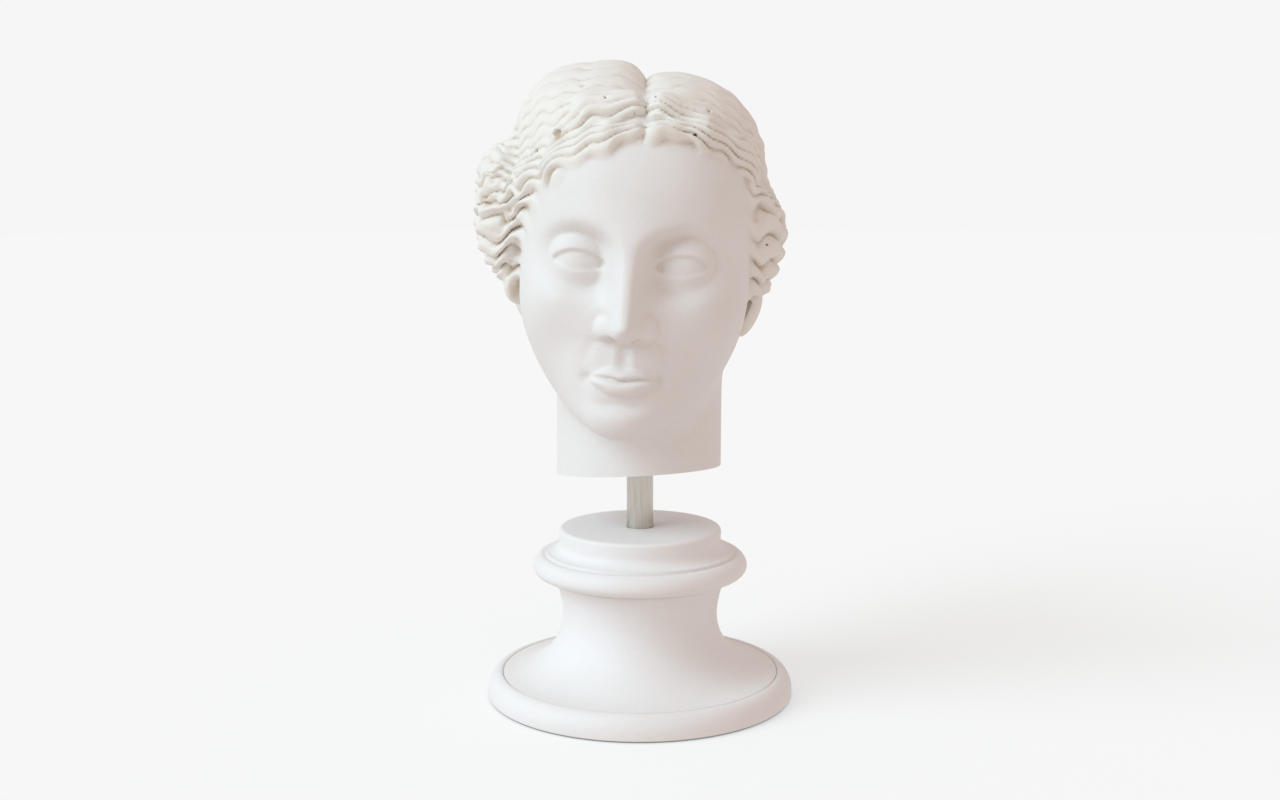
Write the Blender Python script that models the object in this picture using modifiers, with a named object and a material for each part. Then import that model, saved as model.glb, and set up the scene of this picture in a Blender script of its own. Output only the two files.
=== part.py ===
"""A woman's head in cast stone on a steel support rod and a turned round plinth.

Metres, +Z up, the face towards -Y, the origin at the middle of the plinth's underside.
The plinth is a turned profile and the rod a cylinder. The head is modelled as clay is: rounded masses are
pressed together and carved on a grid of distances, and the surface of that is its mesh.
"""

import math

import bmesh
import bpy
import numpy as np
import openvdb
from mathutils import Euler, Vector

# Plinth
PLINTH_HEIGHT = 0.0819
FOOT_RADIUS = 0.0740
FOOT_HEIGHT = 0.0116
FOOT_ROUND = 0.0072
WAIST_RADIUS = 0.0372
WAIST_LEVEL = 0.0400
COLLAR_RADIUS = 0.0515
COLLAR_LEVEL = 0.0634
COLLAR_RISE = 0.0064
COLLAR_DROP = 0.0047
PLATE_RADIUS = 0.0390
PLATE_THICKNESS = 0.0074

# Support rod, and how it fits
ROD_DIAMETER = 0.0127
ROD_SHOWN = 0.0275
ROD_IN_PLINTH = 0.030
ROD_IN_NECK = 0.040
CLEARANCE = 0.0003

# Head: its bare height from chin to crown, and its pose
HEAD_HEIGHT = 0.160
EYES_ABOVE_CUT = 0.1026
HEAD_ROLL = 3.5
HEAD_YAW = -3.5
HEAD_X = -0.0005
CUT_RISE_X = 0.0506
CUT_RISE_Y = -0.094

# Fineness of the solids
CLAY_GRID = 1.7
HEAD_TRIANGLES = 7200
TURNED_STEPS = 38
ROUND_SIDES = 32
CUTTER_SIZE = 0.3

UNIT = HEAD_HEIGHT / 160
CUT_LEVEL = PLINTH_HEIGHT + ROD_SHOWN


def rotation(turn):
    rx, ry, rz = (math.radians(v) for v in turn)
    return np.array(Euler((rx, ry, rz), "XYZ").to_matrix())


def rise(v, width):
    """0 below, 1 above, over about this width."""
    return 1 / (1 + np.exp(-np.clip(v / width, -40, 40)))


def hill(v, width, power=2):
    return np.exp(-np.abs(v / width) ** power)


def over(a, b, soft):
    """The higher of two heights, with a soft join."""
    h = np.maximum(soft - np.abs(a - b), 0) / soft
    return np.maximum(a, b) + h * h * h * soft / 6


def curve(v, at, values, soft=2.0):
    """A smooth curve through about these values."""
    fine = np.arange(at[0] - 12, at[-1] + 12, 0.25)
    line = np.interp(fine, at, values)
    n = int(4 * soft / 0.25)
    w = np.exp(-0.5 * (np.arange(-n, n + 1) * 0.25 / soft) ** 2)
    line = np.convolve(np.pad(line, n, mode="edge"), w / w.sum(), mode="valid")
    return np.interp(v, fine, line)


def spline(points, count):
    """Even samples of a smooth curve through the points, and its length."""
    p = np.array(points, float)
    p = np.vstack([2 * p[0] - p[1], p, 2 * p[-1] - p[-2]])
    out = []
    for i in range(1, len(p) - 2):
        t = np.linspace(0, 1, 24, endpoint=False)[:, None]
        a, b, c, d = p[i - 1 : i + 3]
        bend = 2 * a - 5 * b + 4 * c - d
        out.append(0.5 * (2 * b + (c - a) * t + bend * t**2 + (3 * b - a - 3 * c + d) * t**3))
    out = np.vstack(out + [p[-2:-1]])
    run = np.concatenate([[0], np.cumsum(np.linalg.norm(np.diff(out, axis=0), axis=1))])
    at = np.linspace(0, run[-1], count)
    return np.stack([np.interp(at, run, out[:, k]) for k in range(3)], axis=1), run[-1]


class Clay:
    """Signed distances on a grid, negative inside, in 160ths of the head's height."""

    def __init__(self, low, high, step):
        self.step = step
        self.low = np.array(low, float)
        self.axes = [np.arange(a, b + step, step, dtype=np.float32) for a, b in zip(low, high)]
        self.field = np.full([len(a) for a in self.axes], 1e3, np.float32)

    def part(self, centre, reach):
        cut = []
        for a, c, r in zip(self.axes, centre, np.broadcast_to(reach, 3)):
            i, j = np.searchsorted(a, [c - r, c + r])
            cut.append(slice(i, j))
        sides = [a[s] for a, s in zip(self.axes, cut)]
        return tuple(cut), *np.meshgrid(*sides, indexing="ij", sparse=True)

    def mix(self, cut, d, blend, carve):
        f = self.field[cut]
        if carve:
            h = np.maximum(blend - np.abs(f + d), 0) / blend
            self.field[cut] = np.maximum(f, -d) + h * h * h * blend / 6
        else:
            h = np.maximum(blend - np.abs(f - d), 0) / blend
            self.field[cut] = np.minimum(f, d) - h * h * h * blend / 6

    def blob(self, centre, radii, blend=2.0, carve=False, turn=None):
        """An ellipsoid, turned by degrees about x, y, z."""
        radii = np.array(radii, float)
        cut, x, y, z = self.part(centre, radii.max() + blend + 3)
        x, y, z = x - centre[0], y - centre[1], z - centre[2]
        if turn:
            m = rotation(turn).T
            x, y, z = (m[i, 0] * x + m[i, 1] * y + m[i, 2] * z for i in range(3))
        a, b, c = radii
        k0 = np.sqrt((x / a) ** 2 + (y / b) ** 2 + (z / c) ** 2)
        k1 = np.sqrt((x / a**2) ** 2 + (y / b**2) ** 2 + (z / c**2) ** 2) + 1e-9
        self.mix(cut, k0 * (k0 - 1) / k1, blend, carve)

    def limb(self, a, b, ra, rb, blend=2.0, carve=False):
        """A round limb from a to b, its radius going from ra to rb."""
        a, b = np.array(a, float), np.array(b, float)
        cut, x, y, z = self.part((a + b) / 2, np.abs(b - a) / 2 + max(ra, rb) + blend + 3)
        ab = b - a
        t = ((x - a[0]) * ab[0] + (y - a[1]) * ab[1] + (z - a[2]) * ab[2]) / max(ab @ ab, 1e-9)
        t = np.clip(t, 0, 1)
        d = np.sqrt((x - a[0] - t * ab[0]) ** 2 + (y - a[1] - t * ab[1]) ** 2 + (z - a[2] - t * ab[2]) ** 2)
        self.mix(cut, d - (ra + (rb - ra) * t), blend, carve)

    def soften(self, width):
        """Rounds every crease by about this width."""
        n = max(1, int(round(1.5 * width / self.step)))
        w = np.exp(-0.5 * (np.arange(-n, n + 1) * self.step / (width / 1.5)) ** 2)
        w = (w / w.sum()).astype(np.float32)
        np.clip(self.field, -40, 40, out=self.field)
        for axis in range(3):
            f = np.moveaxis(self.field, axis, 0)
            g = np.pad(f, [(n, n), (0, 0), (0, 0)], mode="edge")
            f[...] = sum(w[i] * g[i : i + len(f)] for i in range(2 * n + 1))

    def mesh(self, name):
        grid = openvdb.FloatGrid(1e3)
        grid.copyFromArray(np.clip(self.field, -4 * self.step, 4 * self.step))
        points, quads = grid.convertToQuads(isovalue=0.0)
        points, quads = largest_shell(points, quads)
        mesh = bpy.data.meshes.new(name)
        mesh.from_pydata(((points * self.step + self.low) * UNIT).tolist(), [], quads.tolist())
        mesh.shade_smooth()
        return mesh


def largest_shell(points, quads):
    """The outer surface alone, without the pockets that locks close off under themselves."""
    shell = np.arange(len(points))
    while True:
        least = shell[quads].min(axis=1)
        new = shell.copy()
        np.minimum.at(new, quads.ravel(), np.repeat(least, 4))
        new = new[new]
        if (new == shell).all():
            break
        shell = new
    keep = shell == np.bincount(shell).argmax()
    number = np.cumsum(keep) - 1
    return points[keep], number[quads[keep[quads[:, 0]]]]


def skull(clay):
    """The bare oval of the head, its jaw, cheeks and chin."""
    clay.blob((0, 9, 22), (56, 67, 58), 1)
    clay.blob((0, -27, 22), (48, 40.5, 43), 24)
    clay.blob((0, -17, -18), (47, 47, 60), 26)
    for s in (-1, 1):
        clay.limb((s * 31, 4, -32), (s * 10, -40, -60), 14, 15, 24)
        clay.blob((s * 26, -30, -18), (23, 30, 30), 22)
    clay.blob((0, -44, -46), (25, 20, 22), 20)
    clay.blob((0, -52.5, -67), (17, 15.5, 12.5), 13)
    clay.soften(5)


def lids_and_eyes(f, u, z):
    """Adds an eyeball and its lids to the height f."""
    ball, front, wide = 13.0, 61.0, 12.0
    dx = u - 22.5
    dz = z + 1.0 - 0.05 * dx

    def dome(r, squash):
        far = np.sqrt(dx * dx + (squash * dz) ** 2)
        return front - ball + np.where(far < r, np.sqrt(np.clip(r * r - far * far, 0, None)), 4 * (r - far))

    upper = rise(dz - 0.4, 1.2)
    f = over(f, dome(ball + 2.0, 0.93), 2.8) * upper + over(f, dome(ball + 0.8, 1.0), 7.0) * (1 - upper)
    q = np.clip(1 - (dx / wide) ** 2, 0, None)
    inside = np.minimum(5.6 * q**0.72 - dz, dz + 4.1 * q**0.9)
    open_eye = rise(inside - 0.25, 0.22) * rise(wide - 0.3 - np.abs(dx), 0.25)
    return f * (1 - open_eye) + np.maximum(dome(ball, 1.0), f - 2.3) * open_eye


def nose(f, u, z):
    height = curve(
        z,
        [-40, -36.5, -34.8, -31, -27.5, -20, -10, 0, 10, 18, 26],
        [0, 0, 3, 14.5, 17.6, 15, 10.6, 6.4, 3.4, 1.2, 0],
        1.1,
    )
    width = curve(z, [-34, -27, -20, -10, 0, 8, 14, 22], [6.6, 6.9, 6.6, 6.2, 6.2, 7.4, 11, 18])
    ridge = height / (1 + (u / width) ** 2.9)
    ridge = ridge + 1.5 * hill(np.hypot(u / 5.6, (z + 27.5) / 5.0), 1)
    under = curve(u, [0, 3, 6, 10, 14], [-35.8, -34.6, -33.0, -33.6, -34], 1.2)
    rho = np.hypot((u - 7.9) / 5.2, (z + 28.6) / 5.6)
    wing = 7.0 * np.sqrt(np.clip(1 - (rho / 1.12) ** 2.4, 0, None)) - 5 * np.clip(rho - 1.0, 0, 4)
    ridge = np.clip(over(ridge, wing, 6.0), 0, None) * rise(z - under, 0.55)
    return f + ridge - 0.6 * hill(rho - 1.3, 0.3) * rise(u - 8, 1) * rise(z + 33, 1.5)


def mouth(f, u, z):
    half = 16.0
    # philtrum
    f = f - 1.0 * hill(u, 2.2) * rise(z + 43.6, 0.8) * rise(-36 - z, 0.8)
    f += 0.5 * hill(u - 4.2, 1.7) * rise(z + 44.5, 1.0) * rise(-37 - z, 1.5)
    line = -50.6 + 0.5 * hill(u - 9, 6) - 0.5 * hill(u, 4) - 0.3 * (u / half) ** 2
    ends = [half, half + 3]
    bow = curve(u, [0, 2.0, 4.6, 8.5, 13] + ends, [-45.2, -44.7, -44.0, -45.5, -48.1, -50.8, -51], 0.9)
    base = curve(u, [0, 5, 8.5, 13] + ends, [-58.4, -58.0, -56.6, -53.6, -51.0, -51], 1.2)
    side = np.clip(1 - (u / (half + 0.5)) ** 2, 0, None) ** 0.6
    s = np.clip((z - line) / np.maximum(bow - line, 0.4), 0, 1)
    upper = 3.4 * np.clip(1 - s**1.7, 0, None) ** 0.85 * (z >= line) * side
    s = np.clip((line - z) / np.maximum(line - base, 0.4), 0, 1)
    lower = 4.5 * np.clip(1 - (np.abs(s - 0.3) / 0.7) ** 2.2, 0, None) ** 0.85 * (z < line) * side
    f += upper + lower + 0.9 * hill(u, 3.2) * hill(z + 48.4, 1.8)
    f -= (2.4 * side + 0.5) * hill(z - line, 0.95) * rise(half + 0.8 - u, 0.5)
    f -= 1.6 * hill(u - half - 0.6, 2.8) * hill(z + 51, 3.2)
    # hollow above the chin, and the soft fold beside the mouth
    f -= 2.6 * hill(u, 11, 3) * hill(z + 62.0, 3.2)
    return f - 0.6 * hill(u - 15 - 0.35 * (-36 - z), 2.6) * hill(z + 40, 7)


def face_height(front, x, z):
    """How far forward the face comes, from how far forward the bare oval comes."""
    u = np.abs(x)
    f = front + 1.6 * hill(u - 31, 10) * hill(z + 13, 8)
    f -= 1.2 * hill(u - 32, 12) * hill(z + 38, 11)
    f -= 1.2 * hill(u - 47, 8) * hill(z - 20, 12)
    brow = curve(u, [4, 10, 16, 23, 32, 42, 50], [6, 9.5, 12, 13.6, 12.6, 8, 2], 2.5)
    depth = curve(u, [5, 9, 13, 17, 23, 31, 39, 48], [0, 4.0, 8.6, 8.8, 7.8, 5.2, 2.6, 0], 2.2)
    f += 1.0 * hill(z - brow - 3, 5) * hill(u - 20, 18)
    f -= depth * rise(brow - z, 1.5 + 0.02 * u) * rise(z + 13.5, 2.6)
    return mouth(nose(lids_and_eyes(f, u, z), u, z), u, z)


def face(clay):
    """Draws the face out of the front of the oval, column by column."""
    y = clay.axes[1]
    inside = clay.field < 0
    first = inside.argmax(axis=1)
    hit = inside.any(axis=1) & (first > 0)
    j = np.maximum(first, 1)
    a = np.take_along_axis(clay.field, (j - 1)[:, None, :], 1)[:, 0, :]
    b = np.take_along_axis(clay.field, j[:, None, :], 1)[:, 0, :]
    front = -(y[j - 1] + clay.step * a / np.where(hit, a - b, 1))
    x = clay.axes[0][:, None] + 0 * front
    z = clay.axes[2][None, :] + 0 * front
    move = np.where(hit, face_height(front, x, z) - front, 0)
    move *= rise(54 - np.abs(x), 1.5) * rise(z + 78, 1.0) * rise(50 - z, 3)
    fade = np.clip((-8 - y[None, :, None]) / 26, 0, 1)
    fade = fade * fade * (3 - 2 * fade)
    at = (y[None, :, None] + move[:, None, :] * fade - y[0]) / clay.step
    at = np.clip(at, 0, len(y) - 1.001)
    n = at.astype(np.int32)
    t = at - n
    near = np.take_along_axis(clay.field, n, 1)
    far = np.take_along_axis(clay.field, n + 1, 1)
    clay.field = (near * (1 - t) + far * t).astype(np.float32)
    for s in (-1, 1):
        clay.blob((s * 5.6, -70.5, -35.0), (2.5, 5.0, 3.6), 1.5, True, (14, 0, s * 24))


# The mass of the hair: ellipsoids as (centre, radii), and the roll along the hairline as (a, b, ra, rb)
MASSES = [
    ((-14, 9, 24), (49.5, 69, 64.5)),
    ((9, 9, 23), (49, 68, 62.5)),
    ((-32, 12, 45), (30, 50, 41)),
    ((20, 12, 39), (36, 52, 43)),
    ((-58, 4, 18), (18, 34, 31)),
    ((-62, -2, 32), (14, 24, 16)),
    ((51, 4, 14), (14.5, 32, 25)),
    ((50, 6, -3), (11, 28, 17)),
    ((-2, 70, -8), (24, 15, 21)),
]
ROLLS = [
    ((0, -52.5, 53), (-14, -50, 48.5), 8.5, 10),
    ((-14, -50, 48.5), (-30, -45, 37), 10, 10.5),
    ((-30, -45, 37), (-46, -31, 30), 10.5, 10),
    ((-46, -31, 30), (-55, -14, 20), 10, 9),
    ((-49, -21, 26), (-54, -9, -19), 8, 7.5),
    ((8, -51.5, 54), (26, -43, 55), 8, 8.5),
    ((26, -43, 55), (41, -30, 49), 8.5, 8.5),
    ((41, -30, 49), (48, -20, 30), 8.5, 8),
    ((43, -25, 28), (48, -14, -13), 8, 6),
    ((-3, -42, 66), (-22, -39, 62), 9, 10),
    ((7, -42, 66), (25, -36, 61), 9, 9),
]

# Rows that the hair is combed along, by how far they lie across it: from the hairline (0) to the back of the
# crown (1), and below 0 those that leave the hairline beside the face
LEFT_ROWS = [
    (0.00, [(1, -58, 55), (-14, -59, 48), (-29, -55, 39), (-44, -43, 29), (-58, -22, 22), (-73, 6, 19),
            (-64, 38, 2), (-16, 70, -14)]),
    (0.30, [(1, -50, 74), (-16, -52, 68), (-32, -46, 59), (-47, -35, 46), (-62, -14, 38), (-71, 12, 36),
            (-62, 44, 16), (-14, 76, -8)]),
    (0.55, [(-1, -28, 86), (-20, -28, 83), (-37, -20, 74), (-50, -8, 62), (-58, 10, 50), (-60, 30, 36),
            (-48, 56, 18), (-12, 80, 0)]),
    (0.80, [(-3, 10, 89), (-22, 14, 83), (-36, 24, 73), (-45, 36, 60), (-46, 48, 44), (-40, 60, 28),
            (-26, 70, 12), (-8, 80, 4)]),
    (1.00, [(-3, 38, 82), (-3, 50, 76), (-3, 60, 66), (-3, 69, 53), (-3, 75, 39), (-3, 78, 27),
            (-3, 80, 16), (-3, 82, 8)]),
]
RIGHT_ROWS = [
    (0.00, [(6, -57, 58), (16, -55, 55), (28, -50, 51), (41, -38, 45), (50, -22, 33), (65, 4, 24),
            (57, 38, 4), (12, 70, -18)]),
    (0.30, [(5, -50, 74), (18, -49, 69), (31, -42, 62), (43, -30, 52), (54, -10, 38), (64, 12, 24),
            (54, 44, 8), (10, 76, -8)]),
    (0.55, [(1, -28, 85), (18, -26, 82), (33, -18, 74), (45, -6, 62), (53, 10, 48), (54, 30, 34),
            (42, 56, 18), (8, 80, 0)]),
    (0.80, [(-1, 10, 88), (16, 14, 83), (30, 24, 73), (39, 36, 60), (40, 48, 44), (35, 60, 28),
            (22, 70, 12), (4, 80, 4)]),
    (1.00, [(-1, 38, 82), (-1, 50, 76), (-1, 60, 66), (-1, 69, 53), (-1, 75, 39), (-1, 78, 27),
            (-1, 80, 16), (-1, 82, 8)]),
]
SIDE_ROWS = {
    -1: [
        (0.00, [(-44, -43, 29), (-58, -22, 22), (-73, 6, 19), (-64, 38, 2), (-42, 58, -8), (-16, 70, -14)]),
        (-0.30, [(-53, -28, 8), (-63, -14, 3), (-76, 8, 2), (-63, 34, -8), (-42, 57, -14), (-16, 70, -17)]),
        (-0.60, [(-55, -18, -14), (-63, -8, -18), (-70, 8, -18), (-60, 34, -20), (-40, 57, -21),
                 (-16, 70, -20)]),
    ],
    1: [
        (0.00, [(43, -36, 36), (50, -22, 33), (65, 4, 24), (57, 38, 4), (38, 58, -8), (12, 70, -14)]),
        (-0.30, [(47, -27, 9), (57, -13, 6), (67, 8, 4), (58, 34, -7), (38, 57, -14), (12, 70, -17)]),
        (-0.60, [(49, -17, -14), (57, -8, -17), (63, 8, -18), (56, 34, -19), (38, 57, -21), (12, 70, -20)]),
    ],
}
# Locks and strands counted across the rows, how high the locks stand there, and how much less on the crown
LOCKS = [(-0.6, -5), (0, 0), (0.25, 4), (0.45, 7.5), (0.8, 12), (1, 18)]
STRANDS = [(-0.6, -15), (0, 0), (0.25, 8), (0.45, 17), (0.8, 32), (1, 50)]
STANDING = [(-0.6, 3.2), (-0.06, 3.2), (0, 2.6), (0.22, 2.5), (0.32, 1.3), (0.5, 1.2), (0.8, 1.2), (1, 1)]
WORN = [(0, 0.9), (30, 0.6), (50, 0.7), (95, 1.5)]
BEND = [(-0.6, 0.026), (0, 0.025), (0.25, 0.022), (0.4, 0.012), (0.7, 0.010), (1, 0.006)]
NAPE = (-2, 74, -14)
# More of the hair, in 160ths of the head's height: how far out all of it is moved, the depth and width of
# the parting, where along the hairline the side rows start, and the reach and grid that the relief needs
HAIR = {"out": 1.0, "parting": (5, 4.5), "side start": 52, "reach": 3.6, "grid": 2.6}


def parting_x(y):
    return np.interp(y, [-62, -38, -18, 4], [3.2, 1.2, -0.5, -2])


def hair_distance(p):
    """How far the points p lie outside the mass of the hair."""
    found = []
    for c, r in MASSES:
        q = p - np.array(c, float)
        r = np.array(r, float)
        k0 = np.linalg.norm(q / r, axis=1)
        found.append(k0 * (k0 - 1) / (np.linalg.norm(q / r**2, axis=1) + 1e-9))
    for a, b, ra, rb in ROLLS:
        a, b = np.array(a, float), np.array(b, float)
        t = np.clip((p - a) @ (b - a) / ((b - a) @ (b - a)), 0, 1)
        found.append(np.linalg.norm(p - a - t[:, None] * (b - a), axis=1) - (ra + (rb - ra) * t))
    d = found[0]
    for e in found[1:]:
        h = np.maximum(7 - np.abs(d - e), 0) / 7
        d = np.minimum(d, e) - h**3 * 7 / 6
    # the valley of the parting, shallow over the forehead, which ends behind the crown
    deep, wide = HAIR["parting"]
    away = np.abs(p[:, 0] - parting_x(p[:, 1])) / wide
    valley = deep * (np.exp(-away) + 0.25 * np.exp(-4 * away)) * (0.5 + 0.5 * rise(p[:, 2] - 72, 4))
    return d - HAIR["out"] + valley * rise(30 - p[:, 1], 8) * rise(p[:, 2] - 30, 8)


def settle(p):
    """Moves the points onto the surface of the hair."""
    for _ in range(5):
        g = [hair_distance(p + e) - hair_distance(p - e) for e in np.eye(3) * 0.5]
        g = np.stack(g, axis=1)
        p = p - 0.9 * hair_distance(p)[:, None] * g / (np.linalg.norm(g, axis=1, keepdims=True) + 1e-9)
    return p


def between(rows, t):
    """The row of points at t between the given rows."""
    rows = sorted(rows, key=lambda row: row[0])
    at = [row[0] for row in rows]
    stack = np.array([row[1] for row in rows], float)
    return np.array([[np.interp(t, at, stack[:, i, k]) for k in range(3)] for i in range(stack.shape[1])])


def combing(side):
    """Points spread over one side of the hair, and how far across and along the combing each one lies."""
    points, across, along = [], [], []
    rows = [(LEFT_ROWS if side < 0 else RIGHT_ROWS, t, 0) for t in np.arange(0, 1.001, 0.03)]
    rows += [(SIDE_ROWS[side], t, HAIR["side start"]) for t in np.arange(-0.6, -0.04, 0.035)]
    for among, t, start in rows:
        _, total = spline(between(among, t), 8)
        path, total = spline(between(among, t), int(total / 2.2))
        points.append(path)
        across.append(np.full(len(path), t))
        along.append(start + np.linspace(0, total, len(path)))
    return settle(np.vstack(points)), np.concatenate(across), np.concatenate(along)


def combed(points, side):
    """How far across and along the combing of one side these points lie."""
    near, across, along = combing(side)
    both = np.stack([across, along], axis=1).astype(np.float32)
    near = near.astype(np.float32)
    out = []
    for some in np.array_split(points.astype(np.float32), max(1, len(points) // 1500)):
        apart = ((some**2).sum(1)[:, None] + (near**2).sum(1)[None, :] - 2 * some @ near.T)
        apart -= apart.min(axis=1, keepdims=True)
        weight = np.exp(-apart / 9.0)
        out.append(weight @ both / weight.sum(axis=1, keepdims=True))
    return np.vstack(out)


def at_steps(v, steps):
    return np.interp(v, [a for a, _ in steps], [b for _, b in steps])


def relief(t, s, side, fade, strands):
    """The height of the wavy locks, t across and s along the combing."""
    a = 2 * math.pi * s / 14.5 + 7 * t + side + 1.2 * np.sin(s / 17 + 6 * t) + 0.4 * np.sin(s / 9 - 13 * t)
    sway = np.clip(s / 55, 0.2, 1) * (1 - 0.6 * rise(s - 86, 7))
    bend = at_steps(t, BEND) * sway
    bent = t + bend * fade * np.sin(a) + 0.012 * np.sin(s / 6 + 9 * t + 2 * side)
    v = at_steps(bent, LOCKS)
    lock = np.floor(v)
    c = 2 * (v - lock) - 1
    own = np.sin(12.9898 * lock + 3 * side)
    tall = at_steps(t, STANDING) * fade
    tall = tall * np.where(t > 0.3, at_steps(s, WORN), 1)
    ridge = 1 - np.abs(c) ** 2.4
    h = tall * (ridge * (1 + 0.25 * own + 0.3 * sway * np.cos(a + own)) - 0.55)
    if strands:
        w = at_steps(bent, STRANDS) + 0.35 * np.sin(s / 4 + 3 * own)
        d = 2 * (w - np.floor(w)) - 1
        h += 0.30 * np.minimum(1, tall) * np.sqrt(np.clip(ridge, 0, 1)) * (0.4 - d * d)
    return h


def hair(clay, strands):
    """The mass of the hair with its locks in relief, laid over the head."""
    step, reach = HAIR["grid"], HAIR["reach"]
    axes = [np.arange(a[0] - step, a[-1] + 2 * step, step) for a in clay.axes]
    x, y, z = np.meshgrid(*axes, indexing="ij")
    places = np.stack([x.ravel(), y.ravel(), z.ravel()], axis=1)
    coarse = np.full(len(places), 1e3)
    roughly = ((places - (-4, 12, 28)) ** 2).sum(axis=1) < 100**2
    coarse[roughly] = hair_distance(places[roughly])
    shape = x.shape

    def spread(values, at):
        """Values of the coarse grid at finer places."""
        where = [(p - a[0]) / step for p, a in zip(at, axes)]
        low = [np.floor(w).astype(int) for w in where]
        part = [w - n for w, n in zip(where, low)]
        total = 0
        for i in (0, 1):
            for j in (0, 1):
                for k in (0, 1):
                    a, b, c = (p if n else 1 - p for p, n in zip(part, (i, j, k)))
                    total = total + a * b * c * values[low[0] + i, low[1] + j, low[2] + k]
        return total

    lowest = [np.searchsorted(a, v) for a, v in zip(clay.axes, (-88, -70, -42))]
    cut = tuple(slice(n, None) for n in lowest)
    x, y, z = np.meshgrid(*[a[c] for a, c in zip(clay.axes, cut)], indexing="ij")
    mass = spread(coarse.reshape(shape), (x, y, z))
    close = np.abs(mass) < reach
    at = np.stack([x[close], y[close], z[close]], axis=1).astype(float)
    fine = np.zeros(len(at))
    exact = hair_distance(at)
    for side in (-1, 1):
        band = side * (places[:, 0] - parting_x(places[:, 1])) > -2 * step
        band &= np.abs(coarse) < reach + 2 * step
        found = np.zeros((len(places), 2), np.float32)
        found[band] = combed(places[band], side)
        mine = side * (at[:, 0] - parting_x(at[:, 1])) >= 0
        own = at[mine].T
        t = spread(found[:, 0].reshape(shape), own)
        s = spread(found[:, 1].reshape(shape), own)
        fade = np.clip((np.linalg.norm(at[mine] - NAPE, axis=1) - 8) / 85, 0.05, 1) ** 1.3
        fine[mine] = relief(t, s, side, fade, strands)
    mass[close] = exact - fine
    # thin and shallow at the hairline, and to its full height further in
    f = clay.field[cut]
    thick = np.clip(f - mass, 0, 60)
    clay.field[cut] = f - thick * (1 - np.exp(-((thick / 4.5) ** 1.2)))


def knot(clay, strands):
    """The coil of hair at the nape."""
    centre, radii = np.array([-2.0, 77, -9]), np.array([22.0, 14, 20])
    cut, x, y, z = clay.part(centre, 30)
    x, y, z = x - centre[0], y - centre[1], z - centre[2]
    k0 = np.sqrt((x / radii[0]) ** 2 + (y / radii[1]) ** 2 + (z / radii[2]) ** 2)
    k1 = np.sqrt((x / radii[0] ** 2) ** 2 + (y / radii[1] ** 2) ** 2 + (z / radii[2] ** 2) ** 2) + 1e-9
    round_about = np.arctan2(z, x)
    v = np.hypot(x / 1.1, z) / 7.0 - round_about / (2 * math.pi)
    c = 2 * (v - np.floor(v)) - 1
    h = 2.6 * ((1 - np.abs(c) ** 2.4) - 0.5) * np.clip(np.hypot(x, z) / 4, 0, 1)
    if strands:
        d = 2 * (4 * v - np.floor(4 * v)) - 1
        h = h + 0.3 * (0.4 - d * d)
    clay.mix(cut, (k0 * (k0 - 1) / k1 - h).astype(np.float32), 1.5, False)


def ear_lobes(clay):
    for s in (-1, 1):
        clay.blob((s * 53.5, 1, -24), (4.4, 8, 12), 1.5, turn=(8, s * 20, 0))
        clay.limb((s * 53.5, -5.5, -15), (s * 50.5, -5.5, -25), 1.9, 1.4, 0.6, True)


def bare_head(step):
    clay = Clay((-88, -92, -116), (82, 98, 96), step)
    skull(clay)
    face(clay)
    clay.soften(0.6)
    clay.limb((6.4, 8, -116), (1.5, 12, -30), 39.6, 39.6, 16)
    return clay


def dress(clay, strands):
    """Adds the hair and the ear lobes, and ends the neck flat, under where it is cut."""
    hair(clay, strands)
    knot(clay, strands)
    ear_lobes(clay)
    clay.field = np.maximum(clay.field, -112 - clay.axes[2][None, None, :])


def material(name, colour, roughness, metallic=0.0):
    found = bpy.data.materials.new(name)
    found.use_nodes = True
    shader = found.node_tree.nodes["Principled BSDF"]
    shader.inputs["Base Color"].default_value = (*colour, 1)
    shader.inputs["Roughness"].default_value = roughness
    shader.inputs["Metallic"].default_value = metallic
    found.diffuse_color = (*colour, 1)
    return found


def placed(name, mesh, collection, made_of=None):
    obj = bpy.data.objects.new(name, mesh)
    collection.objects.link(obj)
    if made_of:
        mesh.materials.append(made_of)
    return obj


def cutter(name, mesh, collection):
    obj = placed(name, mesh, collection)
    obj.hide_render = True
    obj.display_type = "WIRE"
    return obj


def shaped(name, build, **sizes):
    """A mesh from one of the bmesh primitives."""
    form = bmesh.new()
    build(form, **sizes)
    mesh = bpy.data.meshes.new(name)
    form.to_mesh(mesh)
    form.free()
    return mesh


def cylinder(name, radius, length):
    """A closed cylinder about the Z axis, middle at the origin."""
    sizes = {"radius1": radius, "radius2": radius, "depth": length}
    return shaped(name, bmesh.ops.create_cone, cap_ends=True, segments=ROUND_SIDES, **sizes)


def difference(obj, tool):
    cut = obj.modifiers.new(tool.name, "BOOLEAN")
    cut.operation = "DIFFERENCE"
    cut.solver = "EXACT"
    cut.object = tool


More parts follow.
